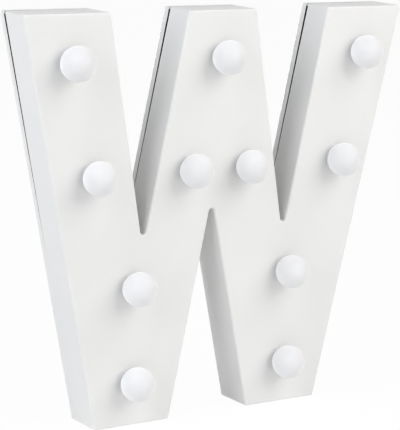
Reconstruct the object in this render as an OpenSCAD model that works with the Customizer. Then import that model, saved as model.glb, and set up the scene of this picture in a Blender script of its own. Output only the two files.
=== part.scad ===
// Light-up letter W: a moulded tray with eleven globe caps, a cover on its back and two cells inside.
// Millimetres. X runs across the letter, Y from its front to its back, Z up from the feet.
// "Depth" below means distance behind the front face; it is negative in front of the face.

/* [Letter outline] */
// Height from feet to tops
letter_h = 220; // [180:1:300]
// Width over the tops of the outer arms
top_w = 240.4; // [210:0.2:300]
// Width of the top of each outer arm
arm_w = 50.8; // [44:0.2:60]
// Width of the top of the middle peak
apex_w = 42.8; // [36:0.2:54]
// Width over both feet
foot_span = 144; // [130:0.5:170]
// Width of each foot
foot_w = 46.5; // [40:0.5:54]
// Distance of each upper notch from the middle, at its sharp point
upper_notch_x = 45.4; // [40:0.2:52]
// Height of the sharp point of the upper notches
upper_notch_z = 95.8; // [90:0.2:104]
// Height of the sharp point of the lower notch
lower_notch_z = 120.4; // [112:0.2:128]
// Sideways place of the lower notch: the moulding leans a little to the left
lower_notch_x = -2.6; // [-4:0.1:4]
// Radius at the bottom of the notches
notch_r = 1.7; // [1.2:0.1:3]
// Radius of the outer corners
corner_r = 1.2; // [0.8:0.1:1.6]
// Rounding of the front edge
front_edge_r = 1.2; // [0.6:0.1:1.6]
// Rounding of the back edge
back_edge_r = 0.6; // [0.4:0.1:1]

/* [Shell and cover] */
// Thickness of the front face
face_t = 2; // [1.6:0.1:2.6]
// Thickness of the side walls
wall_t = 1.8; // [1.4:0.1:2.4]
// Depth of the cover's edge band behind the joint line
cover_d = 4.2; // [3.8:0.1:6]
// Thickness of the cover's plate
cover_t = 2.4; // [2.2:0.1:3]
// Opening of the joint line at the tops of the arms, where the tray's edge falls short of the cover
seam_gap = 1.6; // [0.4:0.1:1.8]
// Height where the joint line closes
seam_close_z = 92; // [60:1:120]

/* [Globes] */
// Diameter of a globe
bulb_d = 18.3; // [17.6:0.1:22]
// Distance of a globe's centre in front of the face
bulb_out = 7.4; // [4.6:0.1:7.6]
// Wall of a globe
bulb_wall = 1.2; // [0.8:0.1:1.5]
// Length of a globe's neck behind the face
neck_tail = 1.2; // [1:0.1:2]
// How far the snap ring of a neck stands out past its hole
snap_grip = 0.35; // [0.2:0.05:0.6]
// Top row of globes below the tops
top_row_drop = 24.5; // [22:0.5:30]
// Second row of globes above the lower notch
pair_rise = 15.9; // [14:0.1:24]
// Place of the second row's middle pair across the peak, as a share of its width from either side
pair_share = 0.26; // [0.22:0.01:0.3]
// Third row of globes below the upper notches
third_row_drop = 19.9; // [16:0.1:26]
// Bottom row of globes above the feet
foot_row_rise = 24.4; // [22:0.2:28]
// Outward shift of the globes on the arms: top row
top_row_out = 2.4; // [0:0.1:4]
// Outward shift of the globes on the arms: second row
second_row_out = 0.9; // [0:0.1:3]
// Shift of the second row's outer globes to the right
second_row_shift = 1.3; // [-2:0.1:2]
// Outward shift of the globes on the legs
leg_rows_out = 0.5; // [0:0.1:2]
// Shift of the globes on the legs to the left: the moulding leans a little
leg_rows_lean = 1; // [-2:0.1:2]

/* [Lamps and cable] */
// Diameter of a lamp
led_d = 5; // [4.6:0.1:5.2]
// Length of a lamp with its flange
led_l = 8.6; // [7:0.1:9]
// Diameter of a lamp's flange
led_flange_d = 5.8; // [5.6:0.1:6]
// Thickness of a lamp's flange
led_flange_t = 1; // [0.8:0.1:1.2]
// Length of a holder's plug inside the neck
holder_plug_l = 2.2; // [1.8:0.1:3]
// Thickness of a holder's flange
holder_flange_t = 0.8; // [0.6:0.1:1.2]
// Start of a lead from the lamp's axis
lead_in = 1.2; // [1.1:0.05:1.4]
// End of a lead from the lamp's axis
lead_out = 3.6; // [3:0.1:3.8]
// Width and thickness of a lead
lead_t = 0.45; // [0.4:0.05:0.5]
// Diameter of the twin cable
loom_d = 1.4; // [1.2:0.1:1.5]
// Radius of the cable's turn round the lamp in the middle peak
loom_turn_r = 4.6; // [4.5:0.1:5]
// Diameter of a single wire
wire_d = 0.9; // [0.7:0.05:1]
// Bend of a single wire
wire_turn = 2; // [1.6:0.1:2.4]
// Length of cable past an end lamp
loom_tail = 7; // [6:0.5:8]

/* [Cells and contacts] */
// Diameter of an AA cell
cell_d = 14.5; // [13.8:0.1:14.6]
// Length of an AA cell with its button
cell_l = 50.5; // [49.5:0.1:51]
// Diameter of a cell's button
button_d = 5.5; // [5:0.1:6]
// Height of a cell's button
button_h = 1; // [0.8:0.1:1.4]
// Chamfer at the ends of a cell
cell_edge = 0.5; // [0.3:0.1:0.8]
// Space between the two cells
cell_space = 0.6; // [0.4:0.1:1.5]
// Side of the square contact plates
plate_w = 8; // [7.4:0.1:8.4]
// Thickness of the contact plates
plate_t = 0.4; // [0.3:0.05:0.5]
// Height of a contact's dimple
dimple_h = 1.1; // [0.9:0.05:1.5]
// Diameter of a contact's dimple
dimple_d = 3; // [2.5:0.1:4]
// Length of a seated contact spring
spring_h = 4.6; // [4.2:0.1:6]
// Wire of a contact spring
spring_wire = 0.7; // [0.5:0.05:0.8]
// Diameter of a spring at its wide end, wire centres
spring_wide = 7; // [6.4:0.1:7.2]
// Diameter of a spring at its narrow end, wire centres
spring_narrow = 4.6; // [4:0.1:5]
// Turns of a spring
spring_turns = 3; // [2.5:0.25:3]
// Width of a solder tail
tail_w = 2; // [1.5:0.1:2.5]
// Length of a solder tail past the well
tail_l = 2.6; // [2:0.1:3]

/* [Battery well and door] */
// Wall of the battery well
well_wall = 2; // [1.8:0.1:2.4]
// Floor of the battery well
well_floor = 1.2; // [1:0.1:1.6]
// Free height between the well and the notch above it
well_margin = 5.7; // [4:0.1:7]
// Width of the ledge that the door rests on
ledge = 1.2; // [1:0.1:1.4]
// Thickness of the door
door_t = 1.6; // [1.4:0.1:1.9]
// Width of a hook at the top of the door
hook_w = 3.4; // [3:0.1:3.8]
// Thickness of a hook
hook_t = 1; // [0.8:0.1:1.2]
// Thickness of a hook's stem
hook_stem = 1.2; // [0.8:0.1:1.6]
// Reach of a hook past the door's edge
hook_reach = 1.8; // [1.4:0.1:2]
// Width of the latch at the foot of the door
latch_w = 5.4; // [4:0.1:5.6]
// Thickness of the latch's arm
latch_t = 1; // [0.8:0.1:1.1]
// Length of the latch's arm
latch_l = 4.6; // [4:0.1:6]
// Furthest swing of the door, in degrees
door_swing = 70; // [40:1:75]
// Depth of the finger scoop below the door
scoop_deep = 1.4; // [0.8:0.1:1.6]
// Radius of the finger scoop's ball
scoop_r = 14; // [12:0.5:18]
// Length of a grip groove in the door
grip_l = 14; // [10:0.5:20]
// Width of a grip groove
grip_w = 0.8; // [0.6:0.1:1.2]
// Depth of a grip groove
grip_deep = 0.4; // [0.2:0.05:0.6]
// First grip groove above the foot of the door
grip_rise = 4.4; // [3:0.1:6]
// Pitch of the grip grooves
grip_pitch = 2.2; // [1.8:0.1:3]
// Number of grip grooves
grip_n = 4; // [2:1:6]

/* [Switch] */
// Length of the switch's frame
switch_l = 12.4; // [12:0.1:14]
// Width of the switch's frame
switch_w = 6.4; // [6:0.1:7]
// Height of the switch's frame
switch_h = 4.6; // [4.4:0.1:5.5]
// Sheet of the frame
sheet_t = 0.5; // [0.4:0.05:0.6]
// Length of each ear of the frame
ear_l = 3.8; // [3.4:0.1:4.4]
// Diameter of the pegs that hold the ears
peg_d = 1.8; // [1.4:0.1:2]
// Length of the pegs
peg_l = 1; // [0.8:0.1:1.4]
// Length of the slider's knob along its travel
knob_l = 3.2; // [2.8:0.1:3.6]
// Width of the knob
knob_w = 2.6; // [2.2:0.1:3]
// Number of grooves across the knob
knob_groove_n = 2; // [1:1:3]
// Width of a groove across the knob
knob_groove_w = 0.5; // [0.3:0.05:0.6]
// Depth of a groove across the knob
knob_groove_deep = 0.4; // [0.2:0.05:0.6]
// Travel of the knob from off to on
switch_travel = 4; // [3:0.1:4]
// Length of the slider's block
slide_block_l = 6.6; // [6:0.1:6.8]
// Height of the slider's block
slide_block_h = 1.5; // [1.2:0.1:1.6]
// Length of the wiper under the slider
wiper_l = 6.2; // [5.6:0.1:6.6]
// Length of each foot of the wiper
wiper_foot = 1.4; // [1.2:0.1:2]
// Sheet of the wiper
wiper_t = 0.25; // [0.2:0.05:0.3]
// Thickness of the switch's base
base_t = 1.4; // [1.2:0.1:1.5]
// Pitch of the terminals
pin_pitch = 4; // [3.8:0.1:4.2]
// Width of a terminal
pin_w = 1.5; // [1.2:0.1:1.6]
// Thickness of a terminal
pin_t = 0.5; // [0.4:0.05:0.6]
// Length of a terminal below the base
pin_l = 4.4; // [3.5:0.1:5]
// Head of a terminal above the base
pin_head = 0.2; // [0.15:0.05:0.25]
// Overhang of a terminal's head
pin_lip = 0.4; // [0.3:0.05:0.5]
// Length of the recess round the knob
recess_l = 13; // [12:0.1:15]
// Width of the recess round the knob
recess_w = 7; // [6:0.1:8]
// Depth of the recess round the knob
recess_deep = 2.5; // [2.4:0.1:3]
// Floor of the recess
recess_floor = 1.2; // [1:0.1:1.6]
// Knob's tip below the back of the cover
knob_sunk = 0.5; // [0.3:0.1:1]
// Drop from the battery well to the middle of the switch
switch_drop = 13.4; // [12.5:0.1:15]

/* [Resistor] */
// Diameter of the resistor
resistor_d = 1.8; // [1.6:0.1:2.2]
// Length of the resistor
resistor_l = 3.4; // [3:0.1:4]
// Length of the lead between the resistor and the switch
resistor_lead = 1.2; // [0.8:0.1:1.4]

/* [Screws and hangers] */
// Outer diameter of the screw bosses
boss_d = 7.2; // [6.4:0.1:8]
// Bosses' distance in from the tops and the feet
boss_in = 9; // [8:0.1:11]
// Waist bosses' distance in from the outer edges
waist_in = 10; // [8:0.1:12]
// Waist bosses' height
waist_z = 108; // [100:1:116]
// Middle boss above the lower notch
mid_boss_rise = 5; // [4:0.1:7]
// Bosses' end in front of the joint line
boss_back = 1.1; // [0.8:0.1:2]
// Diameter of a screw
screw_d = 2.6; // [2.4:0.1:3]
// Length of a screw's shank
screw_l = 10; // [8:0.5:12]
// Diameter of a screw's head
screw_head_d = 5; // [4.6:0.1:5.4]
// Height of a screw's head
screw_head_h = 1.7; // [1.4:0.1:1.8]
// Width of the cross slot in a head
cross_w = 0.8; // [0.6:0.1:1]
// Length of the cross slot in a head
cross_l = 3; // [2.4:0.1:3.4]
// Depth of the cross slot in a head
cross_deep = 0.9; // [0.6:0.1:1.1]
// Diameter of a hanger's round hole
hanger_d = 8; // [7:0.1:9]
// Width of a hanger's slot
hanger_slot = 4.2; // [3.6:0.1:4.4]
// Rise of a hanger's slot
hanger_rise = 8; // [6:0.1:9]
// Hangers' round holes below the tops
hanger_drop = 48; // [44:0.5:54]

/* [Clearances] */
// Between a globe's seat and its hole
hole_gap = 0.12; // [0.1:0.02:0.3]
// Between plugged pieces
plug_gap = 0.06; // [0.04:0.02:0.12]
// Behind the face for the snap ring
snap_gap = 0.1; // [0.05:0.05:0.2]
// Between touching curved pieces
touch_gap = 0.05; // [0.03:0.01:0.1]
// Between a cell and the well
cell_gap = 0.3; // [0.2:0.05:0.6]
// Round the door
door_gap = 0.25; // [0.2:0.05:0.4]
// Under the door
door_seat = 0.1; // [0.05:0.05:0.2]
// Between cable and well
loom_gap = 0.5; // [0.3:0.05:1]
// Between sliding pieces
slide_gap = 0.1; // [0.05:0.05:0.2]
// Round the knob in its slots
knob_gap = 0.25; // [0.2:0.05:0.4]
// Round a solder tail in its slit
tail_gap = 0.2; // [0.15:0.05:0.3]
// Round a screw's shank
screw_gap = 0.05; // [0.05:0.05:0.1]
// Round a screw's shank in the cover
screw_free = 0.25; // [0.2:0.05:0.4]
// Round a screw's head
head_gap = 0.5; // [0.3:0.1:0.8]

/* [Hidden] */
// Fineness of round pieces and of corners
$fn = 64;
arc_steps = 6;
edge_steps = 4;
turn_steps = 4;
tube_sides = 8;
spring_sides = 6;
rings_per_turn = 8;
// Overlap of joined shapes, overshoot of cuts, least radius left by an inset
join = 0.4;
over = 0.6;
least_r = 0.15;

// Colours
shell_c = [0.94, 0.94, 0.93];
globe_c = [0.97, 0.97, 0.98];
metal_c = [0.75, 0.75, 0.77];

// Depths, front to back
neck_end = face_t + neck_tail;
holder_back = neck_end + holder_flange_t;
loom_u = holder_back + touch_gap + loom_d / 2;
well_front = holder_back + loom_d + loom_gap;
well_in = well_front + well_floor;
cell_u = well_in + cell_gap + cell_d / 2;
ledge_u = cell_u + cell_d / 2 + cell_gap;
door_in = ledge_u + door_seat;
body_d = door_in + door_t;
seam_u = body_d - cover_d;
plate_u = body_d - cover_t;
boss_u = seam_u - boss_back;
bulb_proud = bulb_d / 2 + bulb_out;
face_y = (bulb_proud - body_d) / 2;

// Outline of the letter, from the left foot round to the left arm
letter = [
    [-foot_span / 2, 0],
    [-foot_span / 2 + foot_w, 0],
    [lower_notch_x, lower_notch_z],
    [foot_span / 2 - foot_w, 0],
    [foot_span / 2, 0],
    [top_w / 2, letter_h],
    [top_w / 2 - arm_w, letter_h],
    [upper_notch_x, upper_notch_z],
    [apex_w / 2, letter_h],
    [-apex_w / 2, letter_h],
    [-upper_notch_x, upper_notch_z],
    [-top_w / 2 + arm_w, letter_h],
    [-top_w / 2, letter_h]
];
letter_n = len(letter);
// Sides of the outline by the corner that each starts from
leg_in_l = 1;
leg_in_r = 2;
out_r = 4;
arm_in_r = 6;
peak_r = 7;
peak_l = 9;
arm_in_l = 10;
out_l = 12;

function unit(v) = v / norm(v);
function left_of(d) = [-d[1], d[0]];
// An angle brought within half a turn either way
function short_way(a) = a - 360 * round(a / 360);
function at(i) = letter[(i + letter_n) % letter_n];
function way(i) = unit(at(i + 1) - at(i));
function convex(i) = cross(way(i - 1), way(i)) > 0;
function inset_at(i, s) =
    let (a = left_of(way(i - 1)), b = left_of(way(i)))
    at(i) + s * (a + b) / (1 + a * b);
function radius_at(i, s) = convex(i) ? max(corner_r - s, least_r) : notch_r + s;
function arc_at(i, s) =
    let (
        v = inset_at(i, s),
        a = unit(inset_at(i - 1, s) - v),
        b = unit(inset_at(i + 1, s) - v),
        half = acos(a * b) / 2,
        r = radius_at(i, s),
        c = v + unit(a + b) * r / sin(half),
        p = v + a * r / tan(half) - c,
        q = v + b * r / tan(half) - c,
        from = atan2(p[1], p[0]),
        sweep = short_way(atan2(q[1], q[0]) - from)
    )
    [for (k = [0:arc_steps]) c + r * [cos(from + sweep * k / arc_steps), sin(from + sweep * k / arc_steps)]];
// The letter's outline, moved in by s
function outline(s) = [for (i = [0:letter_n - 1]) each arc_at(i, s)];
// Place across of a side of the outline at height z
function side_x(i, z) =
    at(i)[0] + (at(i + 1)[0] - at(i)[0]) * (z - at(i)[1]) / (at(i + 1)[1] - at(i)[1]);
function arm_x_l(z) = (side_x(out_l, z) + side_x(arm_in_l, z)) / 2;
function arm_x_r(z) = (side_x(out_r, z) + side_x(arm_in_r, z)) / 2;
function leg_x_l(z) = (side_x(out_l, z) + side_x(leg_in_l, z)) / 2;
function leg_x_r(z) = (side_x(out_r, z) + side_x(leg_in_r, z)) / 2;
function peak_x(z, share) = side_x(peak_l, z) + share * (side_x(peak_r, z) - side_x(peak_l, z));

// Globes: four down the left, three in the middle peak, four down the right
top_row = letter_h - top_row_drop;
pair_row = lower_notch_z + pair_rise;
third_row = upper_notch_z - third_row_drop;
foot_row = foot_row_rise;
bulbs = [
    [arm_x_l(top_row) - top_row_out, top_row],
    [arm_x_l(pair_row) - second_row_out + second_row_shift, pair_row],
    [leg_x_l(third_row) - leg_rows_out - leg_rows_lean, third_row],
    [leg_x_l(foot_row) - leg_rows_out - leg_rows_lean, foot_row],
    [peak_x(top_row, 1 / 2), top_row],
    [peak_x(pair_row, pair_share), pair_row],
    [peak_x(pair_row, 1 - pair_share), pair_row],
    [arm_x_r(top_row) + top_row_out, top_row],
    [arm_x_r(pair_row) + second_row_out + second_row_shift, pair_row],
    [leg_x_r(third_row) + leg_rows_out - leg_rows_lean, third_row],
    [leg_x_r(foot_row) + leg_rows_out - leg_rows_lean, foot_row]
];
bulb_n = len(bulbs);
bulb_r = bulb_d / 2;
seat_r = sqrt(bulb_r * bulb_r - bulb_out * bulb_out);
hole_r = seat_r + hole_gap;
neck_r = seat_r - plug_gap;
neck_in_r = neck_r - bulb_wall;
snap_r = hole_r + snap_grip;

// Battery well, from the notch above it down
notch_half = (atan2(upper_notch_x - apex_w / 2, letter_h - upper_notch_z)
    + atan2(top_w / 2 - arm_w - upper_notch_x, letter_h - upper_notch_z)) / 2;
notch_tip = upper_notch_z + notch_r / sin(notch_half) - notch_r;
well_top = notch_tip - wall_t - well_margin;
cav_l = cell_l + spring_h + 2 * plate_t + dimple_h;
cav_w = 2 * cell_d + cell_space + 2 * cell_gap;
cav_top = well_top - well_wall;
cav_low = cav_top - cav_l;
well_low = cav_low - well_wall;
well_x = leg_x_l((well_top + well_low) / 2);
cell_dx = (cell_d + cell_space) / 2;
cell_x = [well_x - cell_dx, well_x + cell_dx];
door_w = cav_w + 2 * ledge - 2 * door_gap;
door_top = cav_top + ledge - door_gap;
door_low = cav_low - ledge + door_gap;
hinge_z = door_top - door_t / 2;
hinge_u = body_d - door_t / 2;
hook_u = plate_u - slide_gap - hook_t;
hook_dx = cav_w / 2 - hook_w / 2 - door_gap;
hook_low = cav_top - door_gap - hook_stem;
// How deep a hook's far corner turns in front of the hinge as the door swings
hook_far = [door_top + hook_reach - hinge_z, hinge_u - hook_u];
hook_deep = norm(hook_far) * sin(min(90, atan2(hook_far[1], hook_far[0]) + door_swing));
latch_z = cav_low + plate_t;
tail_u = cell_u - plate_w / 2 + plate_t / 2;
tail_low = well_low - tail_l;

// Switch, below the well
switch_z = well_low - switch_drop;
switch_x = leg_x_l(switch_z);
recess_u = body_d - recess_deep;
frame_u = recess_u - recess_floor;
slide_u = frame_u - sheet_t - slide_gap;
base_u = frame_u - switch_h;
base_top = base_u + base_t;
wiper_u = base_top + pin_head + slide_gap / 2;
pin_end = base_u - pin_l;
ear_x = switch_l / 2 + ear_l / 2;
block_l = switch_l + 2 * ear_l + 2 * wall_t;
block_w = recess_w + 2 * wall_t;
// The knob is drawn at off
knob_x = switch_x - switch_travel / 2;

// Screws: tops, waist, middle, feet
boss_at = [
    [arm_x_l(letter_h - boss_in), letter_h - boss_in],
    [peak_x(letter_h - boss_in, 1 / 2), letter_h - boss_in],
    [arm_x_r(letter_h - boss_in), letter_h - boss_in],
    [side_x(out_l, waist_z) + waist_in, waist_z],
    [lower_notch_x, lower_notch_z + mid_boss_rise],
    [side_x(out_r, waist_z) - waist_in, waist_z],
    [leg_x_l(boss_in), boss_in],
    [leg_x_r(boss_in), boss_in]
];
screw_u = body_d - screw_head_h - head_gap;

// Hangers on the outer arms
hanger_z = letter_h - hanger_drop;
hanger_x = [arm_x_l(hanger_z), arm_x_r(hanger_z)];

// A flat shape of the XZ plane, between two depths
module slab(u0, u1) {
    translate([0, face_y + u1, 0])
        rotate([90, 0, 0])
            linear_extrude(u1 - u0)
                children();
}

// A round post across the letter's depth
module post(p, r, u0, u1) {
    translate([p[0], face_y + u0, p[1]])
        rotate([-90, 0, 0])
            cylinder(r = r, h = u1 - u0);
}

// A block given by its middle, width and height, between two depths
module block(p, w, h, u0, u1) {
    translate([p[0] - w / 2, face_y + u0, p[1] - h / 2])
        cube([w, u1 - u0, h]);
}

// A block given by its sides
module sides(x0, x1, z0, z1, u0, u1) {
    translate([x0, face_y + u0, z0])
        cube([x1 - x0, u1 - u0, z1 - z0]);
}

// A closed ring round the letter that cuts its edge to a radius, at the front or at the back
module edge_cut(r, steps, u, dir) {
    section = concat(
        [[-over, -over], [r, -over]],
        [for (k = [0:steps]) [r - r * sin(90 * k / steps), r - r * cos(90 * k / steps)]],
        [[-over, r]]
    );
    m = len(section);
    loops = [for (q = section) outline(q[1])];
    n = len(loops[0]);
    points = [for (j = [0:m - 1]) for (p = loops[j]) [p[0], face_y + u + dir * section[j][0], p[1]]];
    quads = [
        for (j = [0:m - 1])
            for (i = [0:n - 1])
                let (a = j * n + i, b = j * n + (i + 1) % n, c = ((j + 1) % m) * n)
                dir > 0 ? [a, b, c + (i + 1) % n, c + i] : [c + i, c + (i + 1) % n, b, a]
    ];
    polyhedron(points, quads);
}

// A round tube along a path of points; ref is any direction that the path never runs along
module tube(path, d, count, ref) {
    n = len(path);
    run = [
        for (i = [0:n - 1])
            unit((i > 0 ? unit(path[i] - path[i - 1]) : [0, 0, 0])
                + (i < n - 1 ? unit(path[i + 1] - path[i]) : [0, 0, 0]))
    ];
    points = [
        for (i = [0:n - 1])
            let (a = unit(cross(run[i], ref)), b = cross(run[i], a))
            for (k = [0:count - 1])
                path[i] + d / 2 * (a * cos(360 * k / count) + b * sin(360 * k / count))
    ];
    walls = [
        for (i = [0:n - 2])
            for (k = [0:count - 1])
                let (a = i * count, b = (i + 1) * count, l = (k + 1) % count)
                each [[a + k, b + k, b + l], [a + k, b + l, a + l]]
    ];
    ends = [
        [for (k = [0:count - 1]) k],
        [for (k = [count - 1:-1:0]) (n - 1) * count + k]
    ];
    polyhedron(points, concat(walls, ends));
}

// A point given across, up and by depth
function spot(x, z, u) = [x, face_y + u, z];
// Directions that the flat cables and the single wires never run along
across = [0, 1, 0];
slant = [2, 1, 0.5];

// Front tray: face, walls, seats for the globes and bosses for the screws
module front_shell() {
    seam_top = seam_gap * (letter_h + over - seam_close_z) / (letter_h - seam_close_z);
    color(shell_c)
    difference() {
        union() {
            difference() {
                slab(0, seam_u)
                    polygon(outline(0));
                slab(face_t, seam_u + over)
                    polygon(outline(wall_t));
                edge_cut(front_edge_r, edge_steps, 0, 1);
                // The edge slopes away from the cover towards the tops
                translate([-top_w, face_y, 0])
                    rotate([90, 0, 90])
                        linear_extrude(2 * top_w)
                            polygon([
                                [seam_u, seam_close_z],
                                [seam_u - seam_top, letter_h + over],
                                [seam_u + over, letter_h + over],
                                [seam_u + over, seam_close_z]
                            ]);
            }
            for (p = boss_at)
                post(p, boss_d / 2, face_t - join, boss_u);
        }
        for (p = bulbs)
            post(p, hole_r, -over, face_t + over);
        for (p = boss_at)
            post(p, screw_d / 2 + screw_gap, screw_u - screw_l - over, boss_u + over);
    }
}

// Back cover with the battery well, the switch's recess, screw wells and hangers
module back_cover() {
    well_p = [well_x, (well_top + well_low) / 2];
    switch_p = [switch_x, switch_z];
    color(shell_c)
    difference() {
        union() {
            difference() {
                slab(seam_u, body_d)
                    polygon(outline(0));
                slab(seam_u - over, plate_u)
                    polygon(outline(wall_t));
                edge_cut(back_edge_r, edge_steps / 2, body_d, -1);
            }
            for (p = boss_at)
                post(p, boss_d / 2, boss_u, plate_u + join);
            block(well_p, cav_w + 2 * well_wall, well_top - well_low, well_front, plate_u + join);
            block(switch_p, block_l, block_w, frame_u, plate_u + join);
            for (s = [-1, 1])
                post([switch_x + s * ear_x, switch_z], peg_d / 2, frame_u - peg_l, frame_u + join);
        }
        // Well, ledge, slits for the hooks and the latch, slits for the solder tails
        sides(well_x - cav_w / 2, well_x + cav_w / 2, cav_low, cav_top, well_in, body_d + over);
        sides(
            well_x - cav_w / 2 - ledge, well_x + cav_w / 2 + ledge,
            cav_low - ledge, cav_top + ledge, ledge_u, body_d + over
        );
        for (s = [-1, 1])
            sides(
                well_x + s * hook_dx - hook_w / 2 - door_gap, well_x + s * hook_dx + hook_w / 2 + door_gap,
                cav_top - join, well_top + join, hinge_u - hook_deep - door_gap, plate_u
            );
        sides(
            well_x - latch_w / 2 - door_gap, well_x + latch_w / 2 + door_gap,
            well_low - join, cav_low + join, door_in - latch_l - door_gap, plate_u
        );
        sides(
            well_x - latch_w / 2 - door_gap, well_x + latch_w / 2 + door_gap,
            cav_low - ledge, cav_low + join, plate_u - join, body_d + over
        );
        for (x = cell_x)
            sides(
                x - tail_w / 2 - tail_gap, x + tail_w / 2 + tail_gap, well_low - join, cav_low + join,
                tail_u - plate_t / 2 - tail_gap, tail_u + plate_t / 2 + tail_gap
            );
        // Scoop for a finger below the door
        translate([well_x, face_y + body_d - scoop_deep + scoop_r, cav_low - ledge])
            sphere(r = scoop_r);
        // Recess and slot for the knob
        block(switch_p, recess_l, recess_w, recess_u, body_d + over);
        block(
            switch_p, knob_l + switch_travel + 2 * knob_gap, knob_w + 2 * knob_gap,
            frame_u - over, recess_u + over
        );
        // Screw wells
        for (p = boss_at) {
            post(p, screw_d / 2 + screw_free, boss_u - over, screw_u + over);
            post(p, screw_head_d / 2 + head_gap, screw_u, body_d + over);
        }
        // Hangers
        for (x = hanger_x) {
            post([x, hanger_z], hanger_d / 2, plate_u - over, body_d + over);
            post([x, hanger_z + hanger_rise], hanger_slot / 2, plate_u - over, body_d + over);
            sides(
                x - hanger_slot / 2, x + hanger_slot / 2, hanger_z, hanger_z + hanger_rise,
                plate_u - over, body_d + over
            );
        }
    }
}

// Battery door: round-nosed top edge with two hooks, latch at the foot, grip grooves
module battery_door() {
    barb_low = door_low - door_gap / 2;
    color(shell_c)
    difference() {
        union() {
            sides(well_x - door_w / 2, well_x + door_w / 2, door_low, hinge_z, door_in, body_d);
            translate([well_x - door_w / 2, face_y + hinge_u, hinge_z])
                rotate([0, 90, 0])
                    cylinder(r = door_t / 2, h = door_w);
            for (s = [-1, 1]) {
                sides(
                    well_x + s * hook_dx - hook_w / 2, well_x + s * hook_dx + hook_w / 2,
                    hook_low, hook_low + hook_stem, hook_u, door_in + join
                );
                sides(
                    well_x + s * hook_dx - hook_w / 2, well_x + s * hook_dx + hook_w / 2,
                    hook_low, door_top + hook_reach, hook_u, hook_u + hook_t
                );
            }
            sides(
                well_x - latch_w / 2, well_x + latch_w / 2, latch_z, latch_z + latch_t,
                door_in - latch_l, door_in + join
            );
            sides(
                well_x - latch_w / 2, well_x + latch_w / 2, barb_low, latch_z + latch_t,
                plate_u - slide_gap - hook_t, plate_u - slide_gap
            );
        }
        for (k = [0:grip_n - 1])
            sides(
                well_x - grip_l / 2, well_x + grip_l / 2,
                door_low + grip_rise + k * grip_pitch, door_low + grip_rise + k * grip_pitch + grip_w,
                body_d - grip_deep, body_d + over
            );
    }
}

// One screw: pan head with a cross slot, plain shank
module screw(p) {
    difference() {
        union() {
            post(p, screw_d / 2, screw_u - screw_l, screw_u + join);
            post(p, screw_head_d / 2, screw_u, screw_u + screw_head_h);
        }
        block(p, cross_l, cross_w, screw_u + screw_head_h - cross_deep, screw_u + screw_head_h + over);
        block(p, cross_w, cross_l, screw_u + screw_head_h - cross_deep, screw_u + screw_head_h + over);
    }
}

module cover_screws() {
    color(metal_c)
    for (p = boss_at)
        screw(p);
}

// Frosted globe cap: hollow ball, neck through the face, snap ring behind it
module bulb(i) {
    p = bulbs[i - 1];
    color(globe_c)
    difference() {
        union() {
            translate(spot(p[0], p[1], -bulb_out))
                sphere(r = bulb_r);
            post(p, neck_r, -bulb_out, neck_end);
            post(p, snap_r, face_t + snap_gap, neck_end);
        }
        translate(spot(p[0], p[1], -bulb_out))
            sphere(r = bulb_r - bulb_wall);
        post(p, neck_in_r, -bulb_out, neck_end + over);
    }
}

// Holder that plugs a globe's neck and carries its lamp
module led_holder(i) {
    p = bulbs[i - 1];
    color([0.92, 0.92, 0.9])
    difference() {
        union() {
            post(p, neck_in_r - plug_gap, neck_end - holder_plug_l, neck_end + join);
            post(p, neck_r, neck_end, holder_back);
        }
        post(p, led_d / 2 + plug_gap, neck_end - holder_plug_l - over, holder_back + over);
        post(p, led_flange_d / 2 + plug_gap, holder_back - led_flange_t, holder_back + over);
    }
}

// Lamp with a domed lens, a flange and two leads folded flat
module led(i) {
    p = bulbs[i - 1];
    r = led_d / 2;
    dome_u = holder_back - led_l + r;
    color([0.95, 0.93, 0.8])
    union() {
        translate(spot(p[0], p[1], dome_u))
            sphere(r = r - touch_gap);
        post(p, r, dome_u, holder_back - led_flange_t + touch_gap);
        post(p, led_flange_d / 2, holder_back - led_flange_t, holder_back);
        for (s = [-1, 1]) {
            block(
                [p[0] + s * (lead_in + lead_t / 2), p[1]], lead_t, lead_t,
                holder_back - led_flange_t / 2, holder_back + touch_gap + lead_t
            );
            block(
                [p[0] + s * (lead_in + lead_out) / 2, p[1]], lead_out - lead_in, lead_t,
                holder_back + touch_gap, holder_back + touch_gap + lead_t
            );
        }
    }
}

// Point of the cable at a lamp, and a point at a distance from it towards another
function on_led(i) = spot(bulbs[i - 1][0], bulbs[i - 1][1], loom_u);
function near_led(i, j, d) = on_led(i) + d * unit(on_led(j) - on_led(i));
branch = 2 * loom_d;

module loom_left() {
    color([0.9, 0.9, 0.88])
    tube(
        [on_led(1), on_led(2), on_led(3), on_led(4), on_led(4) - [0, 0, loom_tail]],
        loom_d, tube_sides, across
    );
}

module loom_right() {
    color([0.9, 0.9, 0.88])
    tube([on_led(8), on_led(9), on_led(10), on_led(11)], loom_d, tube_sides, across);
}

// The middle run turns round the lamp in the peak
module loom_middle() {
    top = on_led(5);
    turn = [
        for (k = [turn_steps:-1:0])
            let (a = 180 * k / turn_steps)
            top + loom_turn_r * [cos(a), 0, sin(a)]
    ];
    color([0.9, 0.9, 0.88])
    tube(
        concat([near_led(3, 6, branch), on_led(6)], turn, [on_led(7), near_led(10, 7, branch)]),
        loom_d, tube_sides, across
    );
}

// Single wires: positive plate to switch, switch by way of the resistor to the cable, cable to negative plate
split = wire_d / 2 + touch_gap;
loom_end = on_led(4) - [0, 0, loom_tail + touch_gap];
pin_x = [switch_x - pin_pitch, switch_x, switch_x + pin_pitch];

module wire_feed() {
    color([0.75, 0.1, 0.1])
    tube([
        spot(cell_x[1], tail_low - touch_gap, tail_u),
        spot(cell_x[1], tail_low - touch_gap - wire_d, tail_u),
        spot(cell_x[1], tail_low - wire_turn, tail_u - wire_turn / 2),
        spot(pin_x[1] + wire_turn, switch_z + wire_turn, pin_end - wire_turn),
        spot(pin_x[1], switch_z, pin_end - wire_turn),
        spot(pin_x[1], switch_z, pin_end - touch_gap)
    ], wire_d, tube_sides, slant);
}

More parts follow.
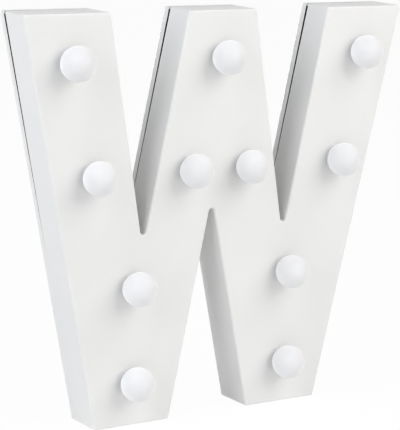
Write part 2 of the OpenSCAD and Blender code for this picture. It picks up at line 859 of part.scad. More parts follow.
resistor_top = pin_end - touch_gap - resistor_lead;
resistor_low = resistor_top - resistor_l;

module resistor() {
    p = [pin_x[2], switch_z];
    color([0.8, 0.7, 0.5])
    union() {
        post(p, resistor_d / 2, resistor_low, resistor_top);
        post(p, lead_t / 2, resistor_top - join, pin_end - touch_gap);
    }
}

module wire_positive() {
    color([0.75, 0.1, 0.1])
    tube([
        spot(pin_x[2], switch_z, resistor_low - touch_gap),
        spot(pin_x[2], switch_z, resistor_low - touch_gap - wire_d),
        spot(pin_x[2], switch_z - wire_turn / 2, loom_u),
        spot(pin_x[2] - wire_turn / 2, loom_end[2] - wire_turn, loom_u),
        spot(loom_end[0] + split, loom_end[2] - wire_turn, loom_u),
        spot(loom_end[0] + split, loom_end[2], loom_u)
    ], wire_d, tube_sides, slant);
}

module wire_negative() {
    color([0.1, 0.1, 0.1])
    tube([
        spot(cell_x[0], tail_low - touch_gap, tail_u),
        spot(cell_x[0], tail_low - touch_gap - wire_d, tail_u),
        spot(cell_x[0], tail_low - wire_turn, tail_u - wire_turn / 2),
        spot(cell_x[0] + wire_turn, loom_end[2] + wire_turn, loom_u + wire_turn),
        spot(loom_end[0] - 2 * wire_turn, loom_end[2] - wire_turn / 2, loom_u),
        spot(loom_end[0] - split, loom_end[2] - wire_turn, loom_u),
        spot(loom_end[0] - split, loom_end[2], loom_u)
    ], wire_d, tube_sides, slant);
}

// A cell standing in the well, button up or down
module cell(x, low, up) {
    flip = up ? 0 : 1;
    r = cell_d / 2;
    shoulder = cell_l - button_h;
    translate(spot(x, low + flip * cell_l, cell_u))
        mirror([0, 0, flip])
            rotate_extrude()
                polygon([
                    [0, 0],
                    [r - cell_edge, 0],
                    [r, cell_edge],
                    [r, shoulder - cell_edge],
                    [r - cell_edge, shoulder],
                    [button_d / 2, shoulder],
                    [button_d / 2, cell_l],
                    [0, cell_l]
                ]);
}

module cell_1() {
    color([0.35, 0.4, 0.45])
    cell(cell_x[0], cav_low + plate_t + spring_h, true);
}

module cell_2() {
    color([0.35, 0.4, 0.45])
    cell(cell_x[1], cav_low + plate_t + dimple_h, false);
}

// A contact plate at an end of the well; up is 1 at the lower end and -1 at the upper end
module plate(x0, x1, z, up) {
    sides(
        x0, x1, min(z, z + up * plate_t), max(z, z + up * plate_t),
        cell_u - plate_w / 2, cell_u + plate_w / 2
    );
}

module dimple(x, z, up) {
    translate(spot(x, min(z, z + up * (plate_t + dimple_h - touch_gap)), cell_u))
        cylinder(r = dimple_d / 2, h = plate_t + dimple_h - touch_gap);
}

module tail(x) {
    sides(
        x - tail_w / 2, x + tail_w / 2, tail_low, cav_low + plate_t,
        tail_u - plate_t / 2, tail_u + plate_t / 2
    );
}

module contact_negative() {
    color(metal_c)
    union() {
        plate(cell_x[0] - plate_w / 2, cell_x[0] + plate_w / 2, cav_low, 1);
        tail(cell_x[0]);
    }
}

module contact_positive() {
    color(metal_c)
    union() {
        plate(cell_x[1] - plate_w / 2, cell_x[1] + plate_w / 2, cav_low, 1);
        dimple(cell_x[1], cav_low, 1);
        tail(cell_x[1]);
    }
}

module contact_bridge() {
    color(metal_c)
    union() {
        plate(cell_x[0] - plate_w / 2, cell_x[1] + plate_w / 2, cav_top, -1);
        dimple(cell_x[0], cav_top, -1);
    }
}

// Conical coil between a plate and a cell, wide end at the plate
spring_path = [
    for (k = [0:spring_turns * rings_per_turn])
        let (
            t = k / (spring_turns * rings_per_turn),
            a = 360 * k / rings_per_turn,
            r = (spring_wide + (spring_narrow - spring_wide) * t) / 2,
            free = spring_h - spring_wire - 2 * touch_gap
        )
        [r * cos(a), r * sin(a), touch_gap + spring_wire / 2 + free * t]
];
spring_least_gap = min([
    for (i = [0:len(spring_path) - 1])
        for (j = [i + rings_per_turn / 2:1:len(spring_path) - 1])
            norm(spring_path[i] - spring_path[j]) - spring_wire
]);
echo(spring_least_gap = spring_least_gap);

module spring_negative() {
    color(metal_c)
    translate(spot(cell_x[0], cav_low + plate_t, cell_u))
        tube(spring_path, spring_wire, spring_sides, [0, 0, 1]);
}

module spring_bridge() {
    color(metal_c)
    translate(spot(cell_x[1], cav_top - plate_t, cell_u))
        rotate([180, 0, 0])
            tube(spring_path, spring_wire, spring_sides, [0, 0, 1]);
}

// Slide switch: pressed frame with two ears on the cover's pegs
module switch_frame() {
    p = [switch_x, switch_z];
    color(metal_c)
    difference() {
        union() {
            block(p, switch_l, switch_w, base_u, frame_u);
            block(p, switch_l + 2 * ear_l, switch_w, frame_u - sheet_t, frame_u);
        }
        block(p, switch_l - 2 * sheet_t, switch_w - 2 * sheet_t, base_u - over, frame_u - sheet_t);
        block(
            p, knob_l + switch_travel + 2 * knob_gap, knob_w + 2 * knob_gap,
            frame_u - sheet_t - over, frame_u + over
        );
        for (s = [-1, 1])
            post(
                [switch_x + s * ear_x, switch_z], peg_d / 2 + plug_gap,
                frame_u - sheet_t - over, frame_u + over
            );
    }
}

module switch_base() {
    p = [switch_x, switch_z];
    color([0.45, 0.3, 0.2])
    difference() {
        block(
            p, switch_l - 2 * sheet_t - 2 * plug_gap, switch_w - 2 * sheet_t - 2 * plug_gap,
            base_u, base_top
        );
        for (x = pin_x)
            block([x, switch_z], pin_w + 2 * plug_gap, pin_t + 2 * plug_gap, base_u - over, base_top + over);
    }
}

module switch_terminals() {
    color(metal_c)
    for (x = pin_x)
        union() {
            block([x, switch_z], pin_w, pin_t, pin_end, base_top + pin_head);
            block([x, switch_z], pin_w + 2 * pin_lip, pin_t + 2 * pin_lip, base_top, base_top + pin_head);
        }
}

module switch_slider() {
    p = [knob_x, switch_z];
    knob_end = body_d - knob_sunk;
    groove_pitch = knob_l / (knob_groove_n + 1);
    color([0.12, 0.12, 0.13])
    difference() {
        union() {
            block(p, slide_block_l, switch_w - 2 * sheet_t - 2 * slide_gap, slide_u - slide_block_h, slide_u);
            block(p, knob_l, knob_w, slide_u - join, knob_end);
        }
        for (k = [1:knob_groove_n])
            block(
                [knob_x - knob_l / 2 + k * groove_pitch, switch_z], knob_groove_w, knob_w + over,
                knob_end - knob_groove_deep, knob_end + over
            );
    }
}

module switch_wiper() {
    p = [knob_x, switch_z];
    color([0.8, 0.5, 0.3])
    difference() {
        block(p, wiper_l, knob_w, wiper_u, slide_u - slide_block_h);
        block(p, wiper_l - 2 * wiper_foot, knob_w + over, wiper_u - over, slide_u - slide_block_h - wiper_t);
    }
}

front_shell();
back_cover();
battery_door();
cover_screws();
for (i = [1:bulb_n]) {
    bulb(i);
    led_holder(i);
    led(i);
}
loom_left();
loom_middle();
loom_right();
wire_feed();
wire_positive();
wire_negative();
resistor();
cell_1();
cell_2();
contact_negative();
contact_positive();
contact_bridge();
spring_negative();
spring_bridge();
switch_frame();
switch_base();
switch_terminals();
switch_slider();
switch_wiper();
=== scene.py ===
from math import asin, cos, inf, pi, radians, sin, tan

import bmesh
import bpy
from mathutils import Matrix, Vector


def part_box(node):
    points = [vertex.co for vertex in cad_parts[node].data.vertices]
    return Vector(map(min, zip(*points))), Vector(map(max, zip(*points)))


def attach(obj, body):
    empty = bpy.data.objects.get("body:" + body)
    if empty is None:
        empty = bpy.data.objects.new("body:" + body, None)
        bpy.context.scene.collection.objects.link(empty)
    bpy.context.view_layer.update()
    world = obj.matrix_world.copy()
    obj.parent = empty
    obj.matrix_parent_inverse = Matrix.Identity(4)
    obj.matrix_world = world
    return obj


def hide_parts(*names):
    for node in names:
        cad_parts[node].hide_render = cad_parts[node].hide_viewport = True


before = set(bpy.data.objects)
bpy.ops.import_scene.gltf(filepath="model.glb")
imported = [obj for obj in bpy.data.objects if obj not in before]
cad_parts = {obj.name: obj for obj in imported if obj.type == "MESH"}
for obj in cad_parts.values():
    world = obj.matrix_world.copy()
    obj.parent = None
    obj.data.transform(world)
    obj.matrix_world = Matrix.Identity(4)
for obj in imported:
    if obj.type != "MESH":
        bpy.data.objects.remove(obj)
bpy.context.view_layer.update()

# Camera: a long lens on a stand to the left of the letter and a little above it.
# Its place and tilt were fitted to the letter's corners in the photograph.
MM = 0.001
lens_mm = 163.3
camera_place = Vector((-587.4, -842.0, 315.2)) * MM
camera_yaw = radians(34.55)
camera_pitch = radians(11.35)
camera_roll = radians(2.22)
film_mm = 36
view_end = 30

scene = bpy.context.scene
lens = bpy.data.cameras.new("camera")
lens.lens = lens_mm
lens.sensor_width = film_mm
lens.clip_end = view_end
camera = bpy.data.objects.new("camera", lens)
heading = Matrix.Rotation(-camera_yaw, 4, "Z") @ Matrix.Rotation(pi / 2 - camera_pitch, 4, "X")
camera.matrix_world = Matrix.Translation(camera_place) @ heading @ Matrix.Rotation(camera_roll, 4, "Z")
scene.collection.objects.link(camera)
scene.camera = camera

# Front shell: one tray of white ABS, injection moulded in the shape of the letter and open at the back.
# Its mould has a fine spark finish and a softly rounded front edge. Holes take the globes' necks, and
# bosses behind the face take the cover's screws. Its back edge falls short of the cover towards the tops.
letter_h = 220
top_w = 240.4
arm_w = 50.8
apex_w = 42.8
foot_span = 144
foot_w = 46.5
upper_notch_x = 45.4
upper_notch_z = 95.8
lower_notch_x = -2.6
lower_notch_z = 120.4
corner_r = 1.2
notch_r = 1.7
least_r = 0.15
corner_steps = 8
front_edge_r = 1.1
front_edge_steps = 6
wall_t = 1.8
face_t = 2.0
hole_r = 5.5
hole_sides = 64
boss_r = 3.6
boss_in = 9
boss_back = 1.1
boss_sides = 32
waist_z = 108
waist_in = 10
middle_boss_rise = 5
screw_hole_r = 1.35
screw_hole_l = 6.9
seam_gap = 1.6
seam_close_z = 92
rim_slack = 0.001
cut_slack = 0.0001
tone_from = 0.35
tone_to = 0.65

shell_low, shell_high = (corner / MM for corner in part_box("front_shell"))
face_y = shell_low.y
seam_y = shell_high.y
globes = [f"bulb_{i}" for i in range(1, 12)]
globe_boxes = [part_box(name) for name in globes]
globe_places = [((low.x + high.x) / 2 / MM, (low.z + high.z) / 2 / MM) for low, high in globe_boxes]

# Corners of the letter from the left foot round to the left arm; True where the outline turns inwards
letter = [
    (-foot_span / 2, 0, False),
    (-foot_span / 2 + foot_w, 0, False),
    (lower_notch_x, lower_notch_z, True),
    (foot_span / 2 - foot_w, 0, False),
    (foot_span / 2, 0, False),
    (top_w / 2, letter_h, False),
    (top_w / 2 - arm_w, letter_h, False),
    (upper_notch_x, upper_notch_z, True),
    (apex_w / 2, letter_h, False),
    (-apex_w / 2, letter_h, False),
    (-upper_notch_x, upper_notch_z, True),
    (-top_w / 2 + arm_w, letter_h, False),
    (-top_w / 2, letter_h, False),
]
LEG_IN_L, LEG_IN_R, OUT_R, ARM_IN_R, PEAK_R, PEAK_L, ARM_IN_L, OUT_L = 1, 2, 4, 6, 7, 9, 10, 12


def side_x(i, z):
    """Where the side from corner i to the next one stands at a height."""
    x0, z0, _ = letter[i]
    x1, z1, _ = letter[(i + 1) % len(letter)]
    return x0 + (x1 - x0) * (z - z0) / (z1 - z0)


def middle(a, b, z):
    """Point halfway between two sides at a height."""
    return (side_x(a, z) + side_x(b, z)) / 2, z


boss_places = [
    middle(OUT_L, ARM_IN_L, letter_h - boss_in),
    middle(PEAK_L, PEAK_R, letter_h - boss_in),
    middle(OUT_R, ARM_IN_R, letter_h - boss_in),
    (side_x(OUT_L, waist_z) + waist_in, waist_z),
    (lower_notch_x, lower_notch_z + middle_boss_rise),
    (side_x(OUT_R, waist_z) - waist_in, waist_z),
    middle(OUT_L, LEG_IN_L, boss_in),
    middle(OUT_R, LEG_IN_R, boss_in),
]


def letter_loop(bm, y, inset):
    """Loop round the letter at depth y, moved in, each corner spun to its radius: its vertices and edges."""
    corners = [Vector((x, y, z)) for x, z, _ in letter]
    ways = [(corners[(i + 1) % len(corners)] - corner).normalized() for i, corner in enumerate(corners)]
    arcs = []
    for i, corner in enumerate(corners):
        before = ways[i - 1]
        after = ways[i]
        in_before = Vector((-before.z, 0, before.x))
        in_after = Vector((-after.z, 0, after.x))
        notch = letter[i][2]
        radius = notch_r + inset if notch else max(corner_r - inset, least_r)
        turn = before.angle(after)
        tip = corner + inset * (in_before + in_after) / (1 + in_before.dot(in_after))
        start = tip - before * radius * tan(turn / 2)
        side = -1 if notch else 1
        first = bm.verts.new(start)
        bm.verts.index_update()
        bmesh.ops.spin(
            bm, geom=[first], cent=start + in_before * radius * side, axis=(0, 1, 0),
            angle=-turn * side, steps=corner_steps,
        )
        bm.verts.ensure_lookup_table()
        bm.verts.index_update()
        arcs.append(bm.verts[first.index:])
    for i, arc in enumerate(arcs):
        bm.edges.new((arcs[i - 1][-1], arc[0]))
    verts = [v for arc in arcs for v in arc]
    return verts, [bm.edges.get((verts[i - 1], vert)) for i, vert in enumerate(verts)]


def pull(bm, edges, offset):
    """Extrudes a loop of edges by an offset and returns the new loop."""
    made = bmesh.ops.extrude_edge_only(bm, edges=edges)["geom"]
    verts = {v for v in made if isinstance(v, bmesh.types.BMVert)}
    bmesh.ops.translate(bm, verts=list(verts), vec=offset)
    return [e for e in made if isinstance(e, bmesh.types.BMEdge) and verts.issuperset(e.verts)]


def ring(bm, x, y, z, radius, sides):
    """Circle of edges facing along the letter's depth."""
    place = Matrix.Translation((x, y, z)) @ Matrix.Rotation(pi / 2, 4, "X")
    verts = bmesh.ops.create_circle(bm, cap_ends=False, segments=sides, radius=radius, matrix=place)["verts"]
    return list(dict.fromkeys(e for v in verts for e in v.link_edges))


def finish_piece(bm, name, materials, body, nodes, sharp=40):
    """Mesh object in metres with outward, area-weighted normals, riding on its body in place of its nodes."""
    bmesh.ops.recalc_face_normals(bm, faces=bm.faces[:])
    bmesh.ops.scale(bm, vec=(MM, MM, MM), verts=bm.verts[:])
    for face in bm.faces:
        face.smooth = True
    mesh = bpy.data.meshes.new(name)
    bm.to_mesh(mesh)
    bm.free()
    mesh.set_sharp_from_angle(angle=radians(sharp))
    for material in materials:
        mesh.materials.append(material)
    piece = bpy.data.objects.new(name, mesh)
    scene.collection.objects.link(piece)
    normals = piece.modifiers.new("normals", "WEIGHTED_NORMAL")
    normals.keep_sharp = True
    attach(piece, body)
    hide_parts(*nodes)
    return piece


def new_material(name):
    """Node material with its shader, its links and Object coordinates."""
    material = bpy.data.materials.new(name)
    material.use_nodes = True
    nodes = material.node_tree.nodes
    place = nodes.new("ShaderNodeTexCoord").outputs["Object"]
    return material, nodes, material.node_tree.links, nodes["Principled BSDF"], place


def noise(nodes, links, place, size_mm, detail=2, stretch=(1, 1, 1)):
    """Soft noise whose blotches are about a given size, drawn out along the axes whose stretch is large."""
    mapping = nodes.new("ShaderNodeMapping")
    mapping.inputs["Scale"].default_value = [1 / s for s in stretch]
    texture = nodes.new("ShaderNodeTexNoise")
    texture.inputs["Scale"].default_value = 1 / (size_mm * MM)
    texture.inputs["Detail"].default_value = detail
    links.new(place, mapping.inputs["Vector"])
    links.new(mapping.outputs["Vector"], texture.inputs["Vector"])
    return texture.outputs["Fac"]


def two_tone(nodes, links, factor, dark, light):
    """Colour that goes from dark to light over the middle of a noise."""
    ramp = nodes.new("ShaderNodeValToRGB")
    ramp.color_ramp.elements[0].position = tone_from
    ramp.color_ramp.elements[0].color = (*dark, 1)
    ramp.color_ramp.elements[1].position = tone_to
    ramp.color_ramp.elements[1].color = (*light, 1)
    links.new(factor, ramp.inputs["Fac"])
    return ramp.outputs["Color"]


def grain(nodes, links, shader, factor, rough, spread, depth_mm, strength):
    """Gloss that varies with a fine grain, and the grain's relief."""
    gloss = nodes.new("ShaderNodeMapRange")
    gloss.inputs["To Min"].default_value = rough - spread
    gloss.inputs["To Max"].default_value = rough + spread
    bump = nodes.new("ShaderNodeBump")
    bump.inputs["Strength"].default_value = strength
    bump.inputs["Distance"].default_value = depth_mm * MM
    links.new(factor, gloss.inputs["Value"])
    links.new(gloss.outputs["Result"], shader.inputs["Roughness"])
    links.new(factor, bump.inputs["Height"])
    links.new(bump.outputs["Normal"], shader.inputs["Normal"])


def moulded(name, dark, light, rough, grain_mm=0.35, grain_depth=0.004, patch_mm=30):
    """Moulded plastic: faint cloudy colour, spark-finish grain in its gloss and relief."""
    material, nodes, links, shader, place = new_material(name)
    tint = two_tone(nodes, links, noise(nodes, links, place, patch_mm, detail=3), dark, light)
    links.new(tint, shader.inputs["Base Color"])
    sparks = noise(nodes, links, place, grain_mm)
    grain(nodes, links, shader, sparks, rough, spread=0.06, depth_mm=grain_depth, strength=0.5)
    return material


white_abs = moulded("white_abs", (0.785, 0.787, 0.78), (0.8, 0.8, 0.79), rough=0.5)
# Near-black painted shade for the faces of the joint between shell and cover, standing in for the shade deep
# in the gap.
painted_joint_shade = moulded(
    "painted_joint_shade", (0.018, 0.018, 0.019), (0.035, 0.034, 0.033), rough=0.8, patch_mm=3,
)

bm = bmesh.new()
outer_verts, outer_rim = letter_loop(bm, seam_y, 0)
front_edge = pull(bm, outer_rim, (0, face_y - seam_y, 0))
bmesh.ops.contextual_create(bm, geom=front_edge)
bmesh.ops.bevel(
    bm, geom=front_edge, offset=front_edge_r, offset_type="OFFSET", segments=front_edge_steps,
    profile=0.5, affect="EDGES", material=-1,
)
face = max(bm.faces, key=lambda f: len(f.verts))
face_border = face.edges[:]
bmesh.ops.delete(bm, geom=[face], context="FACES_ONLY")
holes = [e for x, z in globe_places for e in ring(bm, x, face_y, z, hole_r, hole_sides)]
bmesh.ops.triangle_fill(bm, use_beauty=True, edges=face_border + holes, normal=(0, -1, 0))
inner_holes = pull(bm, holes, (0, face_t, 0))
inner_verts, inner_rim = letter_loop(bm, seam_y, wall_t)
inner_edge = pull(bm, inner_rim, (0, face_y + face_t - seam_y, 0))
boss_feet = [e for x, z in boss_places for e in ring(bm, x, face_y + face_t, z, boss_r, boss_sides)]
bmesh.ops.triangle_fill(bm, use_beauty=True, edges=inner_edge + inner_holes + boss_feet, normal=(0, 1, 0))
boss_y = seam_y - boss_back
boss_ends = pull(bm, boss_feet, (0, boss_y - face_y - face_t, 0))
screw_holes = [ring(bm, x, boss_y, z, screw_hole_r, boss_sides) for x, z in boss_places]
bmesh.ops.triangle_fill(
    bm, use_beauty=True, edges=boss_ends + [e for hole in screw_holes for e in hole], normal=(0, 1, 0),
)
for hole in screw_holes:
    bmesh.ops.contextual_create(bm, geom=pull(bm, hole, (0, -screw_hole_l, 0)))
# The back edge's faces all carry the painted joint shade.
for i, outer in enumerate(outer_verts):
    rim = bm.faces.new((outer_verts[i - 1], outer, inner_verts[i], inner_verts[i - 1]))
    rim.material_index = 1

# The back edge leaves the cover at one height and slopes away from it up to the tops
rim_faces = [f for v in outer_verts + inner_verts for f in v.link_faces]
rim_parts = dict.fromkeys(part for f in rim_faces for part in (f, *f.edges, *f.verts))
bmesh.ops.bisect_plane(
    bm, geom=list(rim_parts), plane_co=(0, 0, seam_close_z), plane_no=(0, 0, 1), dist=cut_slack,
)
for vert in bm.verts:
    if vert.co.y > seam_y - rim_slack and vert.co.z > seam_close_z:
        vert.co.y -= seam_gap * (vert.co.z - seam_close_z) / (letter_h - seam_close_z)
finish_piece(bm, "front_tray", [white_abs, painted_joint_shade], "letter", ["front_shell"])

# Globes: hollow caps of frosted white plastic, blown as one ball and neck.
# The neck goes through the face, and a snap ring behind the face holds it.
globe_r = 9.15
globe_wall = 1.2
globe_out = 7.4
neck_r = 5.32
snap_r = 5.85
snap_start = 2.1
snap_lip = 0.35
neck_end = 3.2
globe_sides = 72
outer_steps = 30
inner_steps = 20
merge_mm = 0.0005


def frosted(name, dark, light, cloud_mm=6, frost_mm=0.2):
    """Frosted globe: milky plastic, dull all over, with a fine even frost."""
    material, nodes, links, shader, place = new_material(name)
    shader.inputs["Diffuse Roughness"].default_value = 1
    tint = two_tone(nodes, links, noise(nodes, links, place, cloud_mm), dark, light)
    links.new(tint, shader.inputs["Base Color"])
    frost = noise(nodes, links, place, frost_mm)
    grain(nodes, links, shader, frost, rough=0.56, spread=0.06, depth_mm=0.002, strength=0.4)
    return material


def trace(bm, vert, points):
    """Draws a profile on from a vertex through points and returns its last vertex."""
    for point in points:
        vert = bmesh.ops.extrude_vert_indiv(bm, verts=[vert])["verts"][0]
        vert.co = point
    return vert


def revolve(bm, centre, axis, sides):
    """Turns the profile round an axis and closes its seam and poles."""
    bmesh.ops.spin(
        bm, geom=bm.verts[:] + bm.edges[:], cent=centre, axis=axis, angle=2 * pi,
        steps=sides, use_merge=True,
    )
    bmesh.ops.remove_doubles(bm, verts=bm.verts[:], dist=merge_mm)


frosted_globe = frosted("frosted_globe", (0.842, 0.843, 0.85), (0.857, 0.857, 0.863))
bore_r = neck_r - globe_wall
hollow_r = globe_r - globe_wall
hollow_end = (hollow_r ** 2 - bore_r ** 2) ** 0.5 - globe_out
ball_turn = pi - asin(neck_r / globe_r)
hollow_turn = pi - asin(bore_r / hollow_r)
for name, (x, z) in zip(globes, globe_places):
    bm = bmesh.new()
    centre = Vector((x, face_y - globe_out, z))
    crown = bm.verts.new(centre + Vector((0, -globe_r, 0)))
    ball = bmesh.ops.spin(
        bm, geom=[crown], cent=centre, axis=(0, 0, 1), angle=ball_turn, steps=outer_steps,
    )
    neck = [
        (neck_r, snap_start), (snap_r, snap_start + snap_lip), (snap_r, neck_end - snap_lip),
        (neck_r, neck_end), (bore_r, neck_end), (bore_r, hollow_end),
    ]
    throat = trace(bm, ball["geom_last"][0], [(x + radius, face_y + depth, z) for radius, depth in neck])
    bmesh.ops.spin(
        bm, geom=[throat], cent=centre, axis=(0, 0, 1), angle=-hollow_turn, steps=inner_steps,
    )
    revolve(bm, centre, (0, 1, 0), globe_sides)
    part = name.replace("bulb", "globe")
    finish_piece(bm, part, [frosted_globe], "letter", [name])

# Lamp holders: short white nylon plugs, each moulded in one piece with a bore for its lamp.
# They push into the globes' necks from behind the face.
holders = [f"led_holder_{i}" for i in range(1, 12)]


def dress(names, material):
    """Gives CAD nodes that keep their own shape a finished material."""
    for name in names:
        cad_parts[name].material_slots[0].material = material


dress(
    holders,
    moulded("holder_white", (0.78, 0.78, 0.75), (0.85, 0.85, 0.83), rough=0.6, grain_mm=0.2, patch_mm=5),
)

# Lamps: 5 mm lamps with a warm yellow lens of clear resin, cast round two tinned leads.
# The leads come out behind the holder and are folded flat under the cable.
lamps = [f"led_{i}" for i in range(1, 12)]
lead_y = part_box("led_holder_1")[1].y


def cast_lens(name, dark, light, metal):
    """Cast resin lens in front of the holder's back and tinned leads behind it."""
    material, nodes, links, shader, place = new_material(name)
    resin = two_tone(nodes, links, noise(nodes, links, place, size_mm=1.5), dark, light)
    depth = nodes.new("ShaderNodeSeparateXYZ")
    behind = nodes.new("ShaderNodeMath")
    behind.operation = "GREATER_THAN"
    behind.inputs[1].default_value = lead_y
    colour = nodes.new("ShaderNodeMix")
    colour.data_type = "RGBA"
    colour.inputs["B"].default_value = (*metal, 1)
    links.new(place, depth.inputs["Vector"])
    links.new(depth.outputs["Y"], behind.inputs[0])
    links.new(behind.outputs["Value"], colour.inputs["Factor"])
    links.new(resin, colour.inputs["A"])
    links.new(colour.outputs["Result"], shader.inputs["Base Color"])
    links.new(behind.outputs["Value"], shader.inputs["Metallic"])
    ripple = noise(nodes, links, place, size_mm=0.4)
    grain(nodes, links, shader, ripple, rough=0.16, spread=0.05, depth_mm=0.001, strength=0.3)
    return material


dress(lamps, cast_lens("lamp_lens", (0.83, 0.72, 0.36), (0.9, 0.84, 0.6), (0.7, 0.7, 0.69)))

# Cables: three runs of white twin cable, soft PVC drawn over fine copper strands.
# They are soldered from lamp to lamp and lie behind the holders.
dress(
    ["loom_left", "loom_middle", "loom_right"],
    moulded("cable_pvc", (0.76, 0.76, 0.74), (0.83, 0.83, 0.81), rough=0.45, grain_mm=0.15, patch_mm=8),
)

# Slide switch: a folded zinc-plated frame with two ears, pressed over the pegs behind the cover.
# It holds a brown phenolic base with three nickel terminals. A black knob and its brass wiper slide in it.
frame_edge_r = 0.08
knob_edge_r = 0.15
knob_edge_steps = 3
copy_merge_mm = 0.001
flat_turn = radians(1)
sharp_turn = radians(40)


def softened(node, edge_r, steps=2, behind_y=-inf):
    """Merged copy of a CAD node in millimetres with its sharp edges behind a depth rounded."""
    bm = bmesh.new()
    bm.from_mesh(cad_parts[node].data)
    bmesh.ops.scale(bm, vec=(1 / MM, 1 / MM, 1 / MM), verts=bm.verts[:])
    bmesh.ops.remove_doubles(bm, verts=bm.verts[:], dist=copy_merge_mm)
    behind = [e for e in bm.edges if min(v.co.y for v in e.verts) > behind_y]
    bmesh.ops.dissolve_limit(bm, angle_limit=flat_turn, verts=[], edges=behind)
    behind = [e for e in bm.edges if min(v.co.y for v in e.verts) > behind_y]
    sharp = [e for e in behind if e.calc_face_angle(0) > sharp_turn]
    bmesh.ops.bevel(
        bm, geom=sharp, offset=edge_r, offset_type="OFFSET", segments=steps, profile=0.5,
        affect="EDGES", material=-1, clamp_overlap=False,
    )
    return bm


def plated(name, dark, light, rough, patch_mm, stretch=(1, 1, 1)):
    """Bare or plated metal: drawn-out marks in its colour and gloss."""
    material, nodes, links, shader, place = new_material(name)
    shader.inputs["Metallic"].default_value = 1
    marks = noise(nodes, links, place, patch_mm, detail=4, stretch=stretch)
    links.new(two_tone(nodes, links, marks, dark, light), shader.inputs["Base Color"])
    scratches = noise(nodes, links, place, size_mm=0.12, stretch=stretch)
    grain(nodes, links, shader, scratches, rough, spread=0.08, depth_mm=0.001, strength=0.3)
    return material


zinc_steel = plated("zinc_steel", (0.58, 0.6, 0.63), (0.7, 0.71, 0.72), rough=0.34, patch_mm=1.6)
nickel_plate = plated(
    "nickel_plate", (0.64, 0.63, 0.6), (0.76, 0.75, 0.72), rough=0.28, patch_mm=0.8, stretch=(6, 1, 1),
)
bm = softened("switch_frame", frame_edge_r)
finish_piece(bm, "switch_housing", [zinc_steel], "letter", ["switch_frame"])
dress(
    ["switch_base"],
    moulded("brown_phenolic", (0.2, 0.11, 0.06), (0.32, 0.19, 0.11), rough=0.55, grain_mm=0.1, patch_mm=0.6),
)
dress(["switch_terminals"], nickel_plate)
dress(
    ["switch_wiper"],
    plated("wiper_brass", (0.68, 0.48, 0.22), (0.8, 0.6, 0.32), rough=0.3, patch_mm=0.6, stretch=(5, 1, 1)),
)
black_plastic = moulded(
    "black_plastic", (0.03, 0.03, 0.034), (0.045, 0.045, 0.05), rough=0.42, grain_mm=0.15, patch_mm=2,
)
bm = softened("switch_slider", knob_edge_r, knob_edge_steps)
finish_piece(bm, "switch_knob", [black_plastic], "knob", ["switch_slider"])

# Wires and resistor: single PVC wires, red and black, from the contacts and the switch to the cable.
# The series resistor is a tan ceramic body with painted rings, soldered to a terminal.
dress(
    ["wire_feed", "wire_positive"],
    moulded("red_pvc", (0.5, 0.035, 0.03), (0.62, 0.06, 0.05), rough=0.4, grain_mm=0.15, patch_mm=3),
)
dress(
    ["wire_negative"],
    moulded("black_pvc", (0.022, 0.022, 0.024), (0.035, 0.035, 0.036), rough=0.4, patch_mm=3),
)
ring_places = [0.16, 0.34, 0.52, 0.78]
ring_colours = [(0.25, 0.1, 0.04), (0.02, 0.02, 0.02), (0.3, 0.12, 0.05), (0.7, 0.5, 0.15)]
ring_share = 0.09
resistor_lead = 1.2
tan_body = (0.7, 0.57, 0.37)
lead_tin = (0.7, 0.7, 0.69)


def ringed(name, low_y, high_y):
    """Lacquered body with painted rings across its length and a tinned lead past its end."""
    material, nodes, links, shader, place = new_material(name)
    depth = nodes.new("ShaderNodeSeparateXYZ")
    along = nodes.new("ShaderNodeMapRange")
    along.inputs["From Min"].default_value = low_y
    along.inputs["From Max"].default_value = high_y
    bands = nodes.new("ShaderNodeValToRGB")
    bands.color_ramp.interpolation = "CONSTANT"
    bands.color_ramp.elements[0].color = (*tan_body, 1)
    bands.color_ramp.elements[1].position = 1
    bands.color_ramp.elements[1].color = (*lead_tin, 1)
    for start, colour in zip(ring_places, ring_colours):
        bands.color_ramp.elements.new(start).color = (*colour, 1)
        bands.color_ramp.elements.new(start + ring_share).color = (*tan_body, 1)
    links.new(place, depth.inputs["Vector"])
    links.new(depth.outputs["Y"], along.inputs["Value"])
    links.new(along.outputs["Result"], bands.inputs["Fac"])
    links.new(bands.outputs["Color"], shader.inputs["Base Color"])
    lacquer = noise(nodes, links, place, size_mm=0.2)
    grain(nodes, links, shader, lacquer, rough=0.3, spread=0.08, depth_mm=0.001, strength=0.3)
    return material


resistor_low, resistor_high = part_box("resistor")
dress(["resistor"], ringed("resistor_tan", resistor_low.y, resistor_high.y - resistor_lead * MM))

# Back cover: a shallow lid of the same white ABS, screwed to the shell's bosses.
# It carries the battery well, the switch's recess, screw wells and two keyholes for hanging.
# The faces of the joint with the shell carry painted shade, dark as the shade deep in the gap, but for the
# tops, where light falls in.
cover_edge_r = 0.25
cover_edge_steps = 2
back_slack = 0.1
joint_slack = 0.1
facing_front = -0.99

cover_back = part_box("back_cover")[1].y / MM
bm = softened("back_cover", cover_edge_r, cover_edge_steps, cover_back - back_slack)
# Front-facing joint faces below the tops get the painted shade.
for face in bm.faces:
    at_seam = abs(face.calc_center_median().y - seam_y) < joint_slack
    below_top = min(v.co.z for v in face.verts) < letter_h - 2 * wall_t
    if at_seam and below_top and face.normal.y < facing_front:
        face.material_index = 1
finish_piece(bm, "rear_cover", [white_abs, painted_joint_shade], "letter", ["back_cover"])

# Contacts: stamped nickel-plated plates in the ends of the battery well, with dimples for the cells' buttons.
# Two conical springs of bright wire sit on them and press on the cells' flat ends.
plate_edge_r = 0.06
spring_wire = 0.7
spring_wide = 7
spring_narrow = 4.6
spring_turns = 3
spring_steps = 24
wire_sides = 12

for name in ("contact_negative", "contact_positive", "contact_bridge"):
    part = name.replace("contact", "plate")
    finish_piece(softened(name, plate_edge_r), part, [nickel_plate], "letter", [name])

spring_steel = plated("spring_steel", (0.6, 0.6, 0.6), (0.74, 0.74, 0.73), rough=0.24, patch_mm=0.5)


